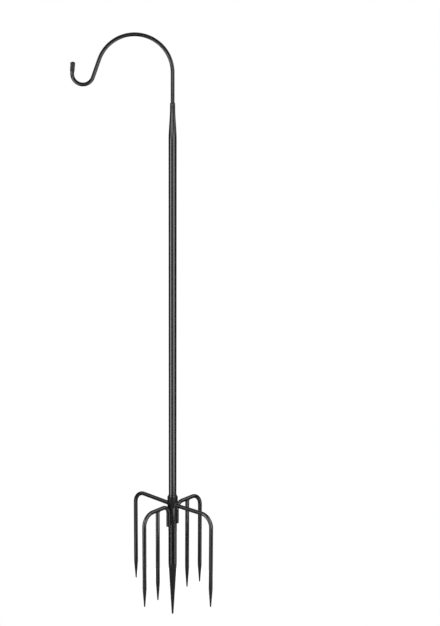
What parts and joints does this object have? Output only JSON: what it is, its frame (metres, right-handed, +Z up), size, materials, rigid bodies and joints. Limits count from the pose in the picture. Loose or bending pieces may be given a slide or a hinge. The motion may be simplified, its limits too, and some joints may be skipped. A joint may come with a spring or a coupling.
{
  "type": "shepherds hook",
  "caption": "Black garden shepherds hook: a rod bent to an arch and a small hook, on a tube pole in a pronged ground stake.",
  "frame": {"origin": "on the pole's axis at the ground line, level with the underside of the stake's arms", "axes": "+Z up along the pole, the hook reaches out along -X, +Y points away from the front"},
  "size_m": [0.2817, 0.1538, 1.2192],
  "materials": {
    "powder_coat": "satin black powder coat on steel",
    "cap_vinyl": "soft satin black vinyl",
    "nylon": "natural white nylon"
  },
  "bodies": {
    "stake": {"base_collar": "powder_coat", "spike_tube": "powder_coat", "spike_point": "powder_coat", "prong_back_left": "powder_coat", "prong_front_right": "powder_coat", "prong_front_left": "powder_coat", "prong_back_right": "powder_coat", "inner_prong_front": "powder_coat", "inner_prong_back": "powder_coat", "collar_weld": "powder_coat", "arm_welds": "powder_coat", "leg_welds": "powder_coat", "inner_prong_welds": "powder_coat"},
    "foot": {"foot_plug": "nylon"},
    "pole": {"pole_tube": "powder_coat", "shank_guide": "nylon"},
    "tip": {"shank_tip": "nylon"},
    "hook": {"hook_rod": "powder_coat", "hook_end_cap": "cap_vinyl"}
  },
  "joints": [
    {"name": "pole_lift", "type": "slide", "parent": "stake", "child": "foot", "axis": [0, 0, 1], "range_m": [0, 0.06]},
    {"name": "pole_turn", "type": "hinge", "parent": "foot", "child": "pole", "pos_m": [0, 0, -0.02], "axis": [0, 0, 1], "continuous": true},
    {"name": "hook_lift", "type": "slide", "parent": "pole", "child": "tip", "axis": [0, 0, 1], "range_m": [0, 0.11]},
    {"name": "hook_turn", "type": "hinge", "parent": "tip", "child": "hook", "pos_m": [0, 0, 0.735], "axis": [0, 0, 1], "continuous": true}
  ]
}
